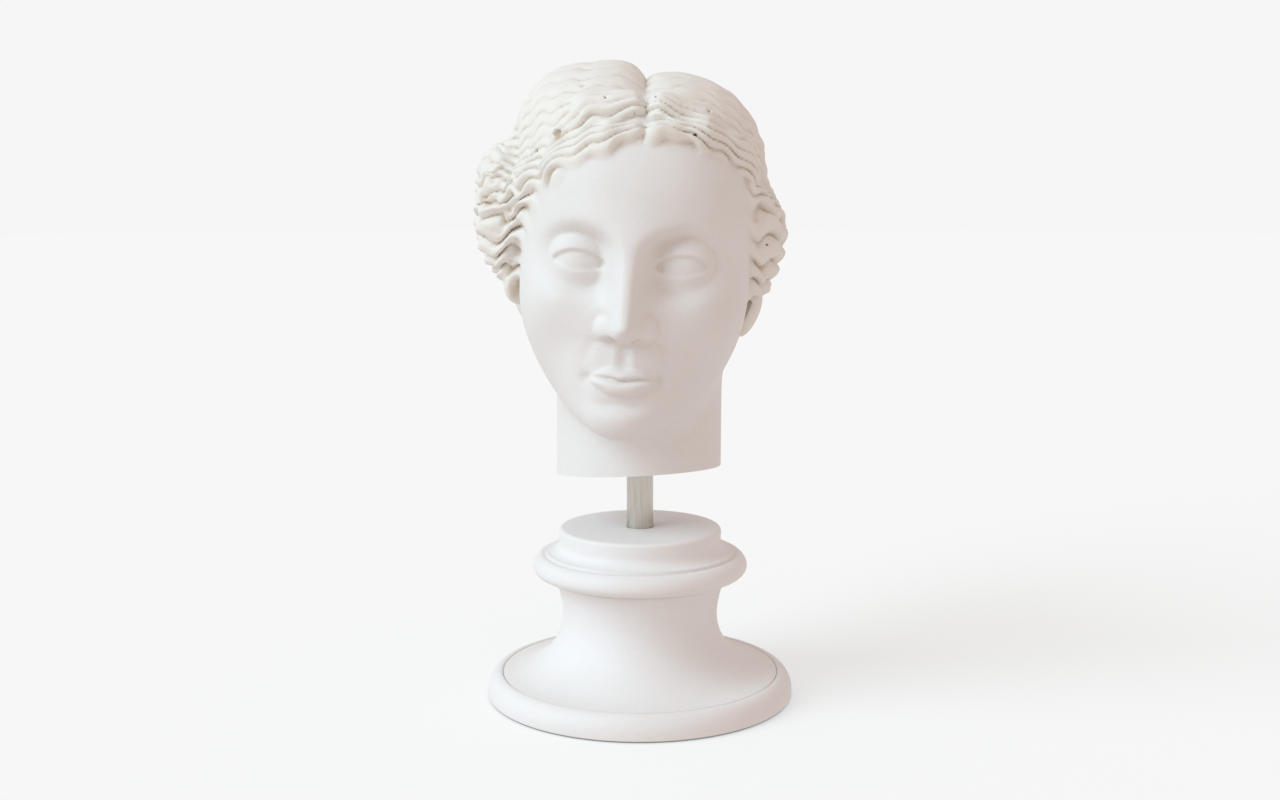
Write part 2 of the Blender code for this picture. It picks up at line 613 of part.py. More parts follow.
def plinth_profile():
    """Radius and height down the outside of the plinth, from the top's middle to the foot's middle."""
    top, plate_low = PLINTH_HEIGHT, PLINTH_HEIGHT - PLATE_THICKNESS
    points = [(0, top), (PLATE_RADIUS - 0.0018, top), (PLATE_RADIUS - 0.0005, top - 0.0005)]
    points += [(PLATE_RADIUS, top - 0.0018)]
    points += [(PLATE_RADIUS - 0.0002, plate_low)]
    # hollow that spreads from the plate to the collar, and the edge of the collar's shoulder
    points += [(PLATE_RADIUS + 0.0012, plate_low - 0.0024), (PLATE_RADIUS + 0.0055, COLLAR_LEVEL + 0.0074)]
    points += [(PLATE_RADIUS + 0.0064, COLLAR_LEVEL + 0.0064)]
    for degrees in (52, 30, 10, -10, -30, -52, -74):
        a = math.radians(degrees)
        radius = COLLAR_RADIUS - COLLAR_RISE * (1 - math.cos(a))
        half = COLLAR_RISE if degrees > 0 else COLLAR_DROP
        points.append((radius, COLLAR_LEVEL + half * math.sin(a)))
    neck = WAIST_RADIUS + 0.0024
    low = COLLAR_LEVEL - COLLAR_DROP
    points += [(neck + 0.0014, low - 0.0006), (neck + 0.0010, low - 0.0020), (neck, low - 0.0032)]
    points += [(WAIST_RADIUS + 0.0008, 0.5 * (WAIST_LEVEL + COLLAR_LEVEL) - 0.0045)]
    # the waist flares down to the foot as a quarter of an ellipse
    lip = FOOT_RADIUS - FOOT_ROUND - 0.0005
    for degrees in (0, 15, 30, 45, 60, 75, 90):
        a = math.radians(degrees)
        level = WAIST_LEVEL - (WAIST_LEVEL - FOOT_HEIGHT) * math.sin(a)
        points.append((lip - (lip - WAIST_RADIUS) * math.cos(a), level))
    # the edge of the foot is a quarter round, widest near the floor
    for degrees in (80, 60, 40, 20, 0):
        a = math.radians(degrees)
        level = FOOT_HEIGHT * (0.24 + 0.77 * math.sin(a))
        points.append((FOOT_RADIUS - FOOT_ROUND * (1 - math.cos(a)), level))
    points += [(FOOT_RADIUS - 0.0009, 0), (0, 0)]
    return points


def turned(name, profile, collection, made_of, steps):
    mesh = bpy.data.meshes.new(name)
    mesh.from_pydata([(r, 0, z) for r, z in profile], [(i, i + 1) for i in range(len(profile) - 1)], [])
    obj = placed(name, mesh, collection, made_of)
    screw = obj.modifiers.new("turned", "SCREW")
    screw.axis = "Z"
    screw.angle = 2 * math.pi
    screw.steps = screw.render_steps = steps
    screw.use_merge_vertices = True
    screw.merge_threshold = 0.00001
    screw.use_smooth_shade = True
    return obj


def main():
    for obj in list(bpy.data.objects):
        bpy.data.objects.remove(obj)
    scene = bpy.context.scene
    parts = bpy.data.collections.new("aphrodite bust")
    tools = bpy.data.collections.new("cutters")
    tools.hide_render = True
    scene.collection.children.link(parts)
    scene.collection.children.link(tools)

    stone = material("cast stone", (0.83, 0.82, 0.79), 0.6)
    plinth_stone = material("plinth stone", (0.87, 0.86, 0.85), 0.55)
    steel = material("brushed steel", (0.52, 0.49, 0.45), 0.35, 1.0)

    plinth = turned("plinth", plinth_profile(), parts, plinth_stone, TURNED_STEPS)
    low = PLINTH_HEIGHT - ROD_IN_PLINTH
    high = CUT_LEVEL + ROD_IN_NECK
    rod = placed("rod", cylinder("rod", ROD_DIAMETER / 2, high - low), parts, steel)
    rod.location = (0, 0, (low + high) / 2)
    rod.data.shade_smooth()
    rod.data.set_sharp_from_angle(angle=math.radians(40))
    sockets = cylinder("rod sockets", ROD_DIAMETER / 2 + CLEARANCE, high - low + 2 * CLEARANCE)
    bore = cutter("rod sockets", sockets, tools)
    bore.location = rod.location
    difference(plinth, bore)

    clay = bare_head(CLAY_GRID)
    dress(clay, 0)
    mesh = clay.mesh("head")
    head = placed("head", mesh, parts, stone)
    head.location = (HEAD_X, 0, CUT_LEVEL + EYES_ABOVE_CUT)
    head.rotation_euler = (0, math.radians(HEAD_ROLL), math.radians(HEAD_YAW))
    thin = head.modifiers.new("fewer faces", "DECIMATE")
    thin.ratio = HEAD_TRIANGLES / (2 * len(mesh.polygons))

    below = cutter("neck cut", shaped("neck cut", bmesh.ops.create_cube, size=CUTTER_SIZE), tools)
    up = Vector((-CUT_RISE_X, -CUT_RISE_Y, 1)).normalized()
    below.rotation_mode = "QUATERNION"
    below.rotation_quaternion = up.to_track_quat("Z", "Y")
    below.location = Vector((0, 0, CUT_LEVEL)) - up * CUTTER_SIZE / 2
    difference(head, below)
    difference(head, bore)


main()
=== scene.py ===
"""The looks of a woman's head in cast stone on a steel rod and a turned plinth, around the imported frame."""

import math

import bmesh
import bpy
import numpy as np
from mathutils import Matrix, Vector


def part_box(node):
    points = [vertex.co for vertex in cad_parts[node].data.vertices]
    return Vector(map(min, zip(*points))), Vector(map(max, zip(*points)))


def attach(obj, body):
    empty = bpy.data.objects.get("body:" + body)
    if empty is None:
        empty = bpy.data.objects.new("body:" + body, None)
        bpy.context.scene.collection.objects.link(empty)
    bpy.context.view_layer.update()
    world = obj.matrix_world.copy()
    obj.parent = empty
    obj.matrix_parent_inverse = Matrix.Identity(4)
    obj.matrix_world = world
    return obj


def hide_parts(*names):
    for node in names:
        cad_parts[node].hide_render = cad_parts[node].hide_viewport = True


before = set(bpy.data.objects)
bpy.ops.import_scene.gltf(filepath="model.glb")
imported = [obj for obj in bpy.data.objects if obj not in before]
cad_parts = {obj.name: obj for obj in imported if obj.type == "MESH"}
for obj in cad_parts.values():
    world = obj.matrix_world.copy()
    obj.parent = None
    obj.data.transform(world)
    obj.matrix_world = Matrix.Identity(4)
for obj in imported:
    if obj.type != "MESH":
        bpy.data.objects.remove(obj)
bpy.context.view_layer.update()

import openvdb
from mathutils import Euler, Matrix, Vector

# Head: its bare height from chin to crown, and its pose, as in the solids
HEAD_HEIGHT = 0.160
EYES_ABOVE_CUT = 0.1026
HEAD_ROLL = 3.5
HEAD_YAW = -3.5
HEAD_X = -0.0005
CUT_RISE_X = 0.0506
CUT_RISE_Y = -0.094
UNIT = HEAD_HEIGHT / 160

# The plinth and the rod, from the frame
PLINTH_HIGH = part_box("plinth")[1]
ROD_LOW, ROD_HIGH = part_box("rod")
PLINTH_HEIGHT = PLINTH_HIGH[2]
FOOT_RADIUS = PLINTH_HIGH[1]
ROD_DIAMETER = ROD_HIGH[1] - ROD_LOW[1]
ROD_LENGTH = ROD_HIGH[2] - ROD_LOW[2]
ROD_MIDDLE = (ROD_LOW[2] + ROD_HIGH[2]) / 2
ROD_SHOWN = 0.0275
CLEARANCE = 0.0003
CUT_LEVEL = PLINTH_HEIGHT + ROD_SHOWN

# The plinth's profile, as in the solids: radii, levels from its underside, and its rounded edges and hollow,
# each with its own two radii as (across, up)
PLATE_RADIUS = 0.0390
PLATE_THICKNESS = 0.0074
PLATE_EDGE = (0.0020, 0.0018)
HOLLOW = (0.0060, 0.0046)
HOLLOW_LEVEL = 0.0006
HOLLOW_START = (-0.0002, 0.0008)
COLLAR_RADIUS = 0.0515
COLLAR_LEVEL = 0.0634
COLLAR_TOP = (0.0064, 0.0064)
COLLAR_UNDER = (0.0064, 0.0047)
WAIST_RADIUS = 0.0372
WAIST_LEVEL = 0.0400
FOOT_HEIGHT = 0.0116
FOOT_SHOULDER = 0.0077
FOOT_EDGE = (0.0066, 0.0089)
FOOT_EDGE_LEVEL = 0.0028
FOOT_UNDER = (0.0008, 0.0012)
# The hollow's end from the plate's lower edge, the way down from the collar from the waist's radius and the
# underside, and the line on the foot from where the waist ends, as (across, up)
HOLLOW_END = [(0.0062, -0.0040), (0.0066, -0.0054)]
BELOW_COLLAR = [(0.0056, 0.0587), (0.0040, 0.0582), (0.0043, 0.0577), (0.0042, 0.0562),
                (0.0030, 0.0541), (0.0020, 0.0520), (0.0011, 0.0480), (0.0003, 0.0440)]
FOOT_LINE = [(0.0002, -0.0002), (0.0004, -0.0009), (0.0009, -0.0001)]
# Fine lines cut round the plinth, darkened with painted shade: radius and height, and how wide that shade is
FINE_LINES = [(0.0456, 0.0696), (0.0415, 0.0578), (0.0667, 0.0110)]
FINE_LINE_WIDTH = 0.0005

# How fine it is all made: steps of the head's grid, in 160ths of its height, and counts of faces and sides
FINE_GRID = 0.74
HEAD_TRIANGLES = 185000
TURNED_STEPS = 160
SOCKET_SIDES = 64
ROD_SIDES = 72
# The rod's bevel, the gap that the plinth's seam closes over, and the size of the cutter under the neck
ROD_EDGE = 0.0004
SEAM = 0.00001
CUTTER_SIZE = 0.3

# The cast stone: pale and cloudy colours of each piece, what darkens them, and how fine each pattern is
HEAD_STONE = ((0.825, 0.825, 0.82), (0.785, 0.785, 0.775))
PLINTH_STONE = ((0.85, 0.85, 0.85), (0.825, 0.825, 0.82))
HAIR_COLOUR = (0.82, 0.81, 0.77)
DIRT_COLOUR = (0.58, 0.50, 0.39)
STAIN_COLOUR = (0.52, 0.38, 0.20)
# painted shade for the plinth's fine lines
LINE_SHADE_COLOUR = (0.70, 0.68, 0.65)
# painted shadow where the foot meets the floor
FOOT_PAINTED_SHADOW = (0.24, 0.23, 0.22)
GRAIN_COLOURS = ((0.55, 0.52, 0.47), (1.0, 1.0, 1.0))
GRAIN_AMOUNT = 0.05
CLOUD_SCALE = 22.0
PATCH_SCALE = 60.0
PORE_SCALE = 420.0
GRAIN_SCALE = 900.0
# How far above the bare head hair begins, in 160ths of the head's height, the depth in millimetres where dirt
# starts in a groove and how much deeper it is full, its share on bare skin, and how strong the stains are
HAIR_FROM = 0.2
DIRT_FROM = 0.06
DIRT_FULL = 0.42
DIRT_ON_SKIN = 0.25
STAIN_AMOUNT = 0.8

# The steel, and how far its brushing is drawn out along the bar
STEEL_COLOURS = ((0.50, 0.46, 0.41), (0.66, 0.63, 0.58))
BRUSHING_SCALE = 2600.0
BRUSHING_ALONG = 0.03


def rotation(turn):
    rx, ry, rz = (math.radians(v) for v in turn)
    return np.array(Euler((rx, ry, rz), "XYZ").to_matrix())


def rise(v, width):
    """0 below, 1 above, over about this width."""
    return 1 / (1 + np.exp(-np.clip(v / width, -40, 40)))


def hill(v, width, power=2):
    return np.exp(-np.abs(v / width) ** power)


def over(a, b, soft):
    """The higher of two heights, with a soft join."""
    h = np.maximum(soft - np.abs(a - b), 0) / soft
    return np.maximum(a, b) + h * h * h * soft / 6


def curve(v, at, values, soft=2.0):
    """A smooth curve through about these values."""
    fine = np.arange(at[0] - 12, at[-1] + 12, 0.25)
    line = np.interp(fine, at, values)
    n = int(4 * soft / 0.25)
    w = np.exp(-0.5 * (np.arange(-n, n + 1) * 0.25 / soft) ** 2)
    line = np.convolve(np.pad(line, n, mode="edge"), w / w.sum(), mode="valid")
    return np.interp(v, fine, line)


def spline(points, count):
    """Even samples of a smooth curve through the points, and its length."""
    p = np.array(points, float)
    p = np.vstack([2 * p[0] - p[1], p, 2 * p[-1] - p[-2]])
    out = []
    for i in range(1, len(p) - 2):
        t = np.linspace(0, 1, 24, endpoint=False)[:, None]
        a, b, c, d = p[i - 1 : i + 3]
        bend = 2 * a - 5 * b + 4 * c - d
        out.append(0.5 * (2 * b + (c - a) * t + bend * t**2 + (3 * b - a - 3 * c + d) * t**3))
    out = np.vstack(out + [p[-2:-1]])
    run = np.concatenate([[0], np.cumsum(np.linalg.norm(np.diff(out, axis=0), axis=1))])
    at = np.linspace(0, run[-1], count)
    return np.stack([np.interp(at, run, out[:, k]) for k in range(3)], axis=1), run[-1]


class Clay:
    """Signed distances on a grid, negative inside, in 160ths of the head's height."""

    def __init__(self, low, high, step):
        self.step = step
        self.low = np.array(low, float)
        self.axes = [np.arange(a, b + step, step, dtype=np.float32) for a, b in zip(low, high)]
        self.field = np.full([len(a) for a in self.axes], 1e3, np.float32)

    def part(self, centre, reach):
        cut = []
        for a, c, r in zip(self.axes, centre, np.broadcast_to(reach, 3)):
            i, j = np.searchsorted(a, [c - r, c + r])
            cut.append(slice(i, j))
        sides = [a[s] for a, s in zip(self.axes, cut)]
        return tuple(cut), *np.meshgrid(*sides, indexing="ij", sparse=True)

    def mix(self, cut, d, blend, carve):
        f = self.field[cut]
        if carve:
            h = np.maximum(blend - np.abs(f + d), 0) / blend
            self.field[cut] = np.maximum(f, -d) + h * h * h * blend / 6
        else:
            h = np.maximum(blend - np.abs(f - d), 0) / blend
            self.field[cut] = np.minimum(f, d) - h * h * h * blend / 6

    def blob(self, centre, radii, blend=2.0, carve=False, turn=None):
        """An ellipsoid, turned by degrees about x, y, z."""
        radii = np.array(radii, float)
        cut, x, y, z = self.part(centre, radii.max() + blend + 3)
        x, y, z = x - centre[0], y - centre[1], z - centre[2]
        if turn:
            m = rotation(turn).T
            x, y, z = (m[i, 0] * x + m[i, 1] * y + m[i, 2] * z for i in range(3))
        a, b, c = radii
        k0 = np.sqrt((x / a) ** 2 + (y / b) ** 2 + (z / c) ** 2)
        k1 = np.sqrt((x / a**2) ** 2 + (y / b**2) ** 2 + (z / c**2) ** 2) + 1e-9
        self.mix(cut, k0 * (k0 - 1) / k1, blend, carve)

    def limb(self, a, b, ra, rb, blend=2.0, carve=False):
        """A round limb from a to b, its radius going from ra to rb."""
        a, b = np.array(a, float), np.array(b, float)
        cut, x, y, z = self.part((a + b) / 2, np.abs(b - a) / 2 + max(ra, rb) + blend + 3)
        ab = b - a
        t = ((x - a[0]) * ab[0] + (y - a[1]) * ab[1] + (z - a[2]) * ab[2]) / max(ab @ ab, 1e-9)
        t = np.clip(t, 0, 1)
        d = np.sqrt((x - a[0] - t * ab[0]) ** 2 + (y - a[1] - t * ab[1]) ** 2 + (z - a[2] - t * ab[2]) ** 2)
        self.mix(cut, d - (ra + (rb - ra) * t), blend, carve)

    def soften(self, width):
        """Rounds every crease by about this width."""
        n = max(1, int(round(1.5 * width / self.step)))
        w = np.exp(-0.5 * (np.arange(-n, n + 1) * self.step / (width / 1.5)) ** 2)
        w = (w / w.sum()).astype(np.float32)
        np.clip(self.field, -40, 40, out=self.field)
        for axis in range(3):
            f = np.moveaxis(self.field, axis, 0)
            g = np.pad(f, [(n, n), (0, 0), (0, 0)], mode="edge")
            f[...] = sum(w[i] * g[i : i + len(f)] for i in range(2 * n + 1))

    def mesh(self, name):
        grid = openvdb.FloatGrid(1e3)
        grid.copyFromArray(np.clip(self.field, -4 * self.step, 4 * self.step))
        points, quads = grid.convertToQuads(isovalue=0.0)
        points, quads = largest_shell(points, quads)
        mesh = bpy.data.meshes.new(name)
        mesh.from_pydata(((points * self.step + self.low) * UNIT).tolist(), [], quads.tolist())
        mesh.shade_smooth()
        return mesh


def largest_shell(points, quads):
    """The outer surface alone, without the pockets that locks close off under themselves."""
    shell = np.arange(len(points))
    while True:
        least = shell[quads].min(axis=1)
        new = shell.copy()
        np.minimum.at(new, quads.ravel(), np.repeat(least, 4))
        new = new[new]
        if (new == shell).all():
            break
        shell = new
    keep = shell == np.bincount(shell).argmax()
    number = np.cumsum(keep) - 1
    return points[keep], number[quads[keep[quads[:, 0]]]]


def skull(clay):
    """The bare oval of the head, its jaw, cheeks and chin."""
    clay.blob((0, 9, 22), (56, 67, 58), 1)
    clay.blob((0, -27, 22), (48, 40.5, 43), 24)
    clay.blob((0, -17, -18), (47, 47, 60), 26)
    for s in (-1, 1):
        clay.limb((s * 31, 4, -32), (s * 10, -40, -60), 14, 15, 24)
        clay.blob((s * 26, -30, -18), (23, 30, 30), 22)
    clay.blob((0, -44, -46), (25, 20, 22), 20)
    clay.blob((0, -52.5, -67), (17, 15.5, 12.5), 13)
    clay.soften(5)


def lids_and_eyes(f, u, z):
    """Adds an eyeball and its lids to the height f."""
    ball, front, wide = 13.0, 61.0, 12.0
    dx = u - 22.5
    dz = z + 1.0 - 0.05 * dx

    def dome(r, squash):
        far = np.sqrt(dx * dx + (squash * dz) ** 2)
        return front - ball + np.where(far < r, np.sqrt(np.clip(r * r - far * far, 0, None)), 4 * (r - far))

    upper = rise(dz - 0.4, 1.2)
    f = over(f, dome(ball + 2.0, 0.93), 2.8) * upper + over(f, dome(ball + 0.8, 1.0), 7.0) * (1 - upper)
    q = np.clip(1 - (dx / wide) ** 2, 0, None)
    inside = np.minimum(5.6 * q**0.72 - dz, dz + 4.1 * q**0.9)
    open_eye = rise(inside - 0.25, 0.22) * rise(wide - 0.3 - np.abs(dx), 0.25)
    return f * (1 - open_eye) + np.maximum(dome(ball, 1.0), f - 2.3) * open_eye


def nose(f, u, z):
    height = curve(
        z,
        [-40, -36.5, -34.8, -31, -27.5, -20, -10, 0, 10, 18, 26],
        [0, 0, 3, 14.5, 17.6, 15, 10.6, 6.4, 3.4, 1.2, 0],
        1.1,
    )
    width = curve(z, [-34, -27, -20, -10, 0, 8, 14, 22], [6.6, 6.9, 6.6, 6.2, 6.2, 7.4, 11, 18])
    ridge = height / (1 + (u / width) ** 2.9)
    ridge = ridge + 1.5 * hill(np.hypot(u / 5.6, (z + 27.5) / 5.0), 1)
    under = curve(u, [0, 3, 6, 10, 14], [-35.8, -34.6, -33.0, -33.6, -34], 1.2)
    rho = np.hypot((u - 7.9) / 5.2, (z + 28.6) / 5.6)
    wing = 7.0 * np.sqrt(np.clip(1 - (rho / 1.12) ** 2.4, 0, None)) - 5 * np.clip(rho - 1.0, 0, 4)
    ridge = np.clip(over(ridge, wing, 6.0), 0, None) * rise(z - under, 0.55)
    return f + ridge - 0.6 * hill(rho - 1.3, 0.3) * rise(u - 8, 1) * rise(z + 33, 1.5)


def mouth(f, u, z):
    half = 16.0
    # philtrum
    f = f - 1.0 * hill(u, 2.2) * rise(z + 43.6, 0.8) * rise(-36 - z, 0.8)
    f += 0.5 * hill(u - 4.2, 1.7) * rise(z + 44.5, 1.0) * rise(-37 - z, 1.5)
    line = -50.6 + 0.5 * hill(u - 9, 6) - 0.5 * hill(u, 4) - 0.3 * (u / half) ** 2
    ends = [half, half + 3]
    bow = curve(u, [0, 2.0, 4.6, 8.5, 13] + ends, [-45.2, -44.7, -44.0, -45.5, -48.1, -50.8, -51], 0.9)
    base = curve(u, [0, 5, 8.5, 13] + ends, [-58.4, -58.0, -56.6, -53.6, -51.0, -51], 1.2)
    side = np.clip(1 - (u / (half + 0.5)) ** 2, 0, None) ** 0.6
    s = np.clip((z - line) / np.maximum(bow - line, 0.4), 0, 1)
    upper = 3.4 * np.clip(1 - s**1.7, 0, None) ** 0.85 * (z >= line) * side
    s = np.clip((line - z) / np.maximum(line - base, 0.4), 0, 1)
    lower = 4.5 * np.clip(1 - (np.abs(s - 0.3) / 0.7) ** 2.2, 0, None) ** 0.85 * (z < line) * side
    f += upper + lower + 0.9 * hill(u, 3.2) * hill(z + 48.4, 1.8)
    f -= (2.4 * side + 0.5) * hill(z - line, 0.95) * rise(half + 0.8 - u, 0.5)
    f -= 1.6 * hill(u - half - 0.6, 2.8) * hill(z + 51, 3.2)
    # hollow above the chin, and the soft fold beside the mouth
    f -= 2.6 * hill(u, 11, 3) * hill(z + 62.0, 3.2)
    return f - 0.6 * hill(u - 15 - 0.35 * (-36 - z), 2.6) * hill(z + 40, 7)


def face_height(front, x, z):
    """How far forward the face comes, from how far forward the bare oval comes."""
    u = np.abs(x)
    f = front + 1.6 * hill(u - 31, 10) * hill(z + 13, 8)
    f -= 1.2 * hill(u - 32, 12) * hill(z + 38, 11)
    f -= 1.2 * hill(u - 47, 8) * hill(z - 20, 12)
    brow = curve(u, [4, 10, 16, 23, 32, 42, 50], [6, 9.5, 12, 13.6, 12.6, 8, 2], 2.5)
    depth = curve(u, [5, 9, 13, 17, 23, 31, 39, 48], [0, 4.0, 8.6, 8.8, 7.8, 5.2, 2.6, 0], 2.2)
    f += 1.0 * hill(z - brow - 3, 5) * hill(u - 20, 18)
    f -= depth * rise(brow - z, 1.5 + 0.02 * u) * rise(z + 13.5, 2.6)
    return mouth(nose(lids_and_eyes(f, u, z), u, z), u, z)


def face(clay):
    """Draws the face out of the front of the oval, column by column."""
    y = clay.axes[1]
    inside = clay.field < 0
    first = inside.argmax(axis=1)
    hit = inside.any(axis=1) & (first > 0)
    j = np.maximum(first, 1)
    a = np.take_along_axis(clay.field, (j - 1)[:, None, :], 1)[:, 0, :]
    b = np.take_along_axis(clay.field, j[:, None, :], 1)[:, 0, :]
    front = -(y[j - 1] + clay.step * a / np.where(hit, a - b, 1))
    x = clay.axes[0][:, None] + 0 * front
    z = clay.axes[2][None, :] + 0 * front
    move = np.where(hit, face_height(front, x, z) - front, 0)
    move *= rise(54 - np.abs(x), 1.5) * rise(z + 78, 1.0) * rise(50 - z, 3)
    fade = np.clip((-8 - y[None, :, None]) / 26, 0, 1)
    fade = fade * fade * (3 - 2 * fade)
    at = (y[None, :, None] + move[:, None, :] * fade - y[0]) / clay.step
    at = np.clip(at, 0, len(y) - 1.001)
    n = at.astype(np.int32)
    t = at - n
    near = np.take_along_axis(clay.field, n, 1)
    far = np.take_along_axis(clay.field, n + 1, 1)
    clay.field = (near * (1 - t) + far * t).astype(np.float32)
    for s in (-1, 1):
        clay.blob((s * 5.6, -70.5, -35.0), (2.5, 5.0, 3.6), 1.5, True, (14, 0, s * 24))


# The mass of the hair: ellipsoids as (centre, radii), and the roll along the hairline as (a, b, ra, rb)
MASSES = [
    ((-14, 9, 24), (49.5, 69, 64.5)),
    ((9, 9, 23), (49, 68, 62.5)),
    ((-32, 12, 45), (30, 50, 41)),
    ((20, 12, 39), (36, 52, 43)),
    ((-58, 4, 18), (18, 34, 31)),
    ((-62, -2, 32), (14, 24, 16)),
    ((51, 4, 14), (14.5, 32, 25)),
    ((50, 6, -3), (11, 28, 17)),
    ((-2, 70, -8), (24, 15, 21)),
]
ROLLS = [
    ((0, -52.5, 53), (-14, -50, 48.5), 8.5, 10),
    ((-14, -50, 48.5), (-30, -45, 37), 10, 10.5),
    ((-30, -45, 37), (-46, -31, 30), 10.5, 10),
    ((-46, -31, 30), (-55, -14, 20), 10, 9),
    ((-49, -21, 26), (-54, -9, -19), 8, 7.5),
    ((8, -51.5, 54), (26, -43, 55), 8, 8.5),
    ((26, -43, 55), (41, -30, 49), 8.5, 8.5),
    ((41, -30, 49), (48, -20, 30), 8.5, 8),
    ((43, -25, 28), (48, -14, -13), 8, 6),
    ((-3, -42, 66), (-22, -39, 62), 9, 10),
    ((7, -42, 66), (25, -36, 61), 9, 9),
]

# Rows that the hair is combed along, by how far they lie across it: from the hairline (0) to the back of the
# crown (1), and below 0 those that leave the hairline beside the face
LEFT_ROWS = [
    (0.00, [(1, -58, 55), (-14, -59, 48), (-29, -55, 39), (-44, -43, 29), (-58, -22, 22), (-73, 6, 19),
            (-64, 38, 2), (-16, 70, -14)]),
    (0.30, [(1, -50, 74), (-16, -52, 68), (-32, -46, 59), (-47, -35, 46), (-62, -14, 38), (-71, 12, 36),
            (-62, 44, 16), (-14, 76, -8)]),
    (0.55, [(-1, -28, 86), (-20, -28, 83), (-37, -20, 74), (-50, -8, 62), (-58, 10, 50), (-60, 30, 36),
            (-48, 56, 18), (-12, 80, 0)]),
    (0.80, [(-3, 10, 89), (-22, 14, 83), (-36, 24, 73), (-45, 36, 60), (-46, 48, 44), (-40, 60, 28),
            (-26, 70, 12), (-8, 80, 4)]),
    (1.00, [(-3, 38, 82), (-3, 50, 76), (-3, 60, 66), (-3, 69, 53), (-3, 75, 39), (-3, 78, 27),
            (-3, 80, 16), (-3, 82, 8)]),
]
RIGHT_ROWS = [
    (0.00, [(6, -57, 58), (16, -55, 55), (28, -50, 51), (41, -38, 45), (50, -22, 33), (65, 4, 24),
            (57, 38, 4), (12, 70, -18)]),
    (0.30, [(5, -50, 74), (18, -49, 69), (31, -42, 62), (43, -30, 52), (54, -10, 38), (64, 12, 24),
            (54, 44, 8), (10, 76, -8)]),
    (0.55, [(1, -28, 85), (18, -26, 82), (33, -18, 74), (45, -6, 62), (53, 10, 48), (54, 30, 34),
            (42, 56, 18), (8, 80, 0)]),
    (0.80, [(-1, 10, 88), (16, 14, 83), (30, 24, 73), (39, 36, 60), (40, 48, 44), (35, 60, 28),
            (22, 70, 12), (4, 80, 4)]),
    (1.00, [(-1, 38, 82), (-1, 50, 76), (-1, 60, 66), (-1, 69, 53), (-1, 75, 39), (-1, 78, 27),
            (-1, 80, 16), (-1, 82, 8)]),
]
SIDE_ROWS = {
    -1: [
        (0.00, [(-44, -43, 29), (-58, -22, 22), (-73, 6, 19), (-64, 38, 2), (-42, 58, -8), (-16, 70, -14)]),
        (-0.30, [(-53, -28, 8), (-63, -14, 3), (-76, 8, 2), (-63, 34, -8), (-42, 57, -14), (-16, 70, -17)]),
        (-0.60, [(-55, -18, -14), (-63, -8, -18), (-70, 8, -18), (-60, 34, -20), (-40, 57, -21),
                 (-16, 70, -20)]),
    ],
    1: [
        (0.00, [(43, -36, 36), (50, -22, 33), (65, 4, 24), (57, 38, 4), (38, 58, -8), (12, 70, -14)]),
        (-0.30, [(47, -27, 9), (57, -13, 6), (67, 8, 4), (58, 34, -7), (38, 57, -14), (12, 70, -17)]),
        (-0.60, [(49, -17, -14), (57, -8, -17), (63, 8, -18), (56, 34, -19), (38, 57, -21), (12, 70, -20)]),
    ],
}
# Across the rows: the count of locks and of strands, how high the locks stand and how far they bend. Along
# them: what share of that height the locks of the crown keep
LOCKS = [(-0.6, -5), (0, 0), (0.25, 4), (0.45, 7.5), (0.8, 12), (1, 18)]
STRANDS = [(-0.6, -15), (0, 0), (0.25, 8), (0.45, 17), (0.8, 32), (1, 50)]
STANDING = [(-0.6, 3.2), (-0.06, 3.2), (0, 2.6), (0.22, 2.5), (0.32, 1.3), (0.5, 1.2), (0.8, 1.2), (1, 1)]
BEND = [(-0.6, 0.026), (0, 0.025), (0.25, 0.022), (0.4, 0.012), (0.7, 0.010), (1, 0.006)]
WORN = [(0, 0.9), (30, 0.6), (50, 0.7), (95, 1.5)]
NAPE = (-2, 74, -14)
# More of the hair, in 160ths of the head's height: how far out all of it is moved, the depth and width of
# the parting, where along the hairline the side rows start, and the reach and grid that the relief needs
HAIR = {"out": 1.0, "parting": (5, 4.5), "side start": 52, "reach": 3.6, "grid": 2.6}


def parting_x(y):
    return np.interp(y, [-62, -38, -18, 4], [3.2, 1.2, -0.5, -2])


def hair_distance(p):
    """How far the points p lie outside the mass of the hair."""
    found = []
    for c, r in MASSES:
        q = p - np.array(c, float)
        r = np.array(r, float)
        k0 = np.linalg.norm(q / r, axis=1)
        found.append(k0 * (k0 - 1) / (np.linalg.norm(q / r**2, axis=1) + 1e-9))
    for a, b, ra, rb in ROLLS:
        a, b = np.array(a, float), np.array(b, float)
        t = np.clip((p - a) @ (b - a) / ((b - a) @ (b - a)), 0, 1)
        found.append(np.linalg.norm(p - a - t[:, None] * (b - a), axis=1) - (ra + (rb - ra) * t))
    d = found[0]
    for e in found[1:]:
        h = np.maximum(7 - np.abs(d - e), 0) / 7
        d = np.minimum(d, e) - h**3 * 7 / 6
    # the valley of the parting, shallow over the forehead, which ends behind the crown
    deep, wide = HAIR["parting"]
    away = np.abs(p[:, 0] - parting_x(p[:, 1])) / wide
    valley = deep * (np.exp(-away) + 0.25 * np.exp(-4 * away)) * (0.5 + 0.5 * rise(p[:, 2] - 72, 4))
    return d - HAIR["out"] + valley * rise(30 - p[:, 1], 8) * rise(p[:, 2] - 30, 8)


def settle(p):
    """Moves the points onto the surface of the hair."""
    for _ in range(5):
        g = [hair_distance(p + e) - hair_distance(p - e) for e in np.eye(3) * 0.5]
        g = np.stack(g, axis=1)
        p = p - 0.9 * hair_distance(p)[:, None] * g / (np.linalg.norm(g, axis=1, keepdims=True) + 1e-9)
    return p


def between(rows, t):
    """The row of points at t between the given rows."""
    rows = sorted(rows, key=lambda row: row[0])
    at = [row[0] for row in rows]
    stack = np.array([row[1] for row in rows], float)
    return np.array([[np.interp(t, at, stack[:, i, k]) for k in range(3)] for i in range(stack.shape[1])])


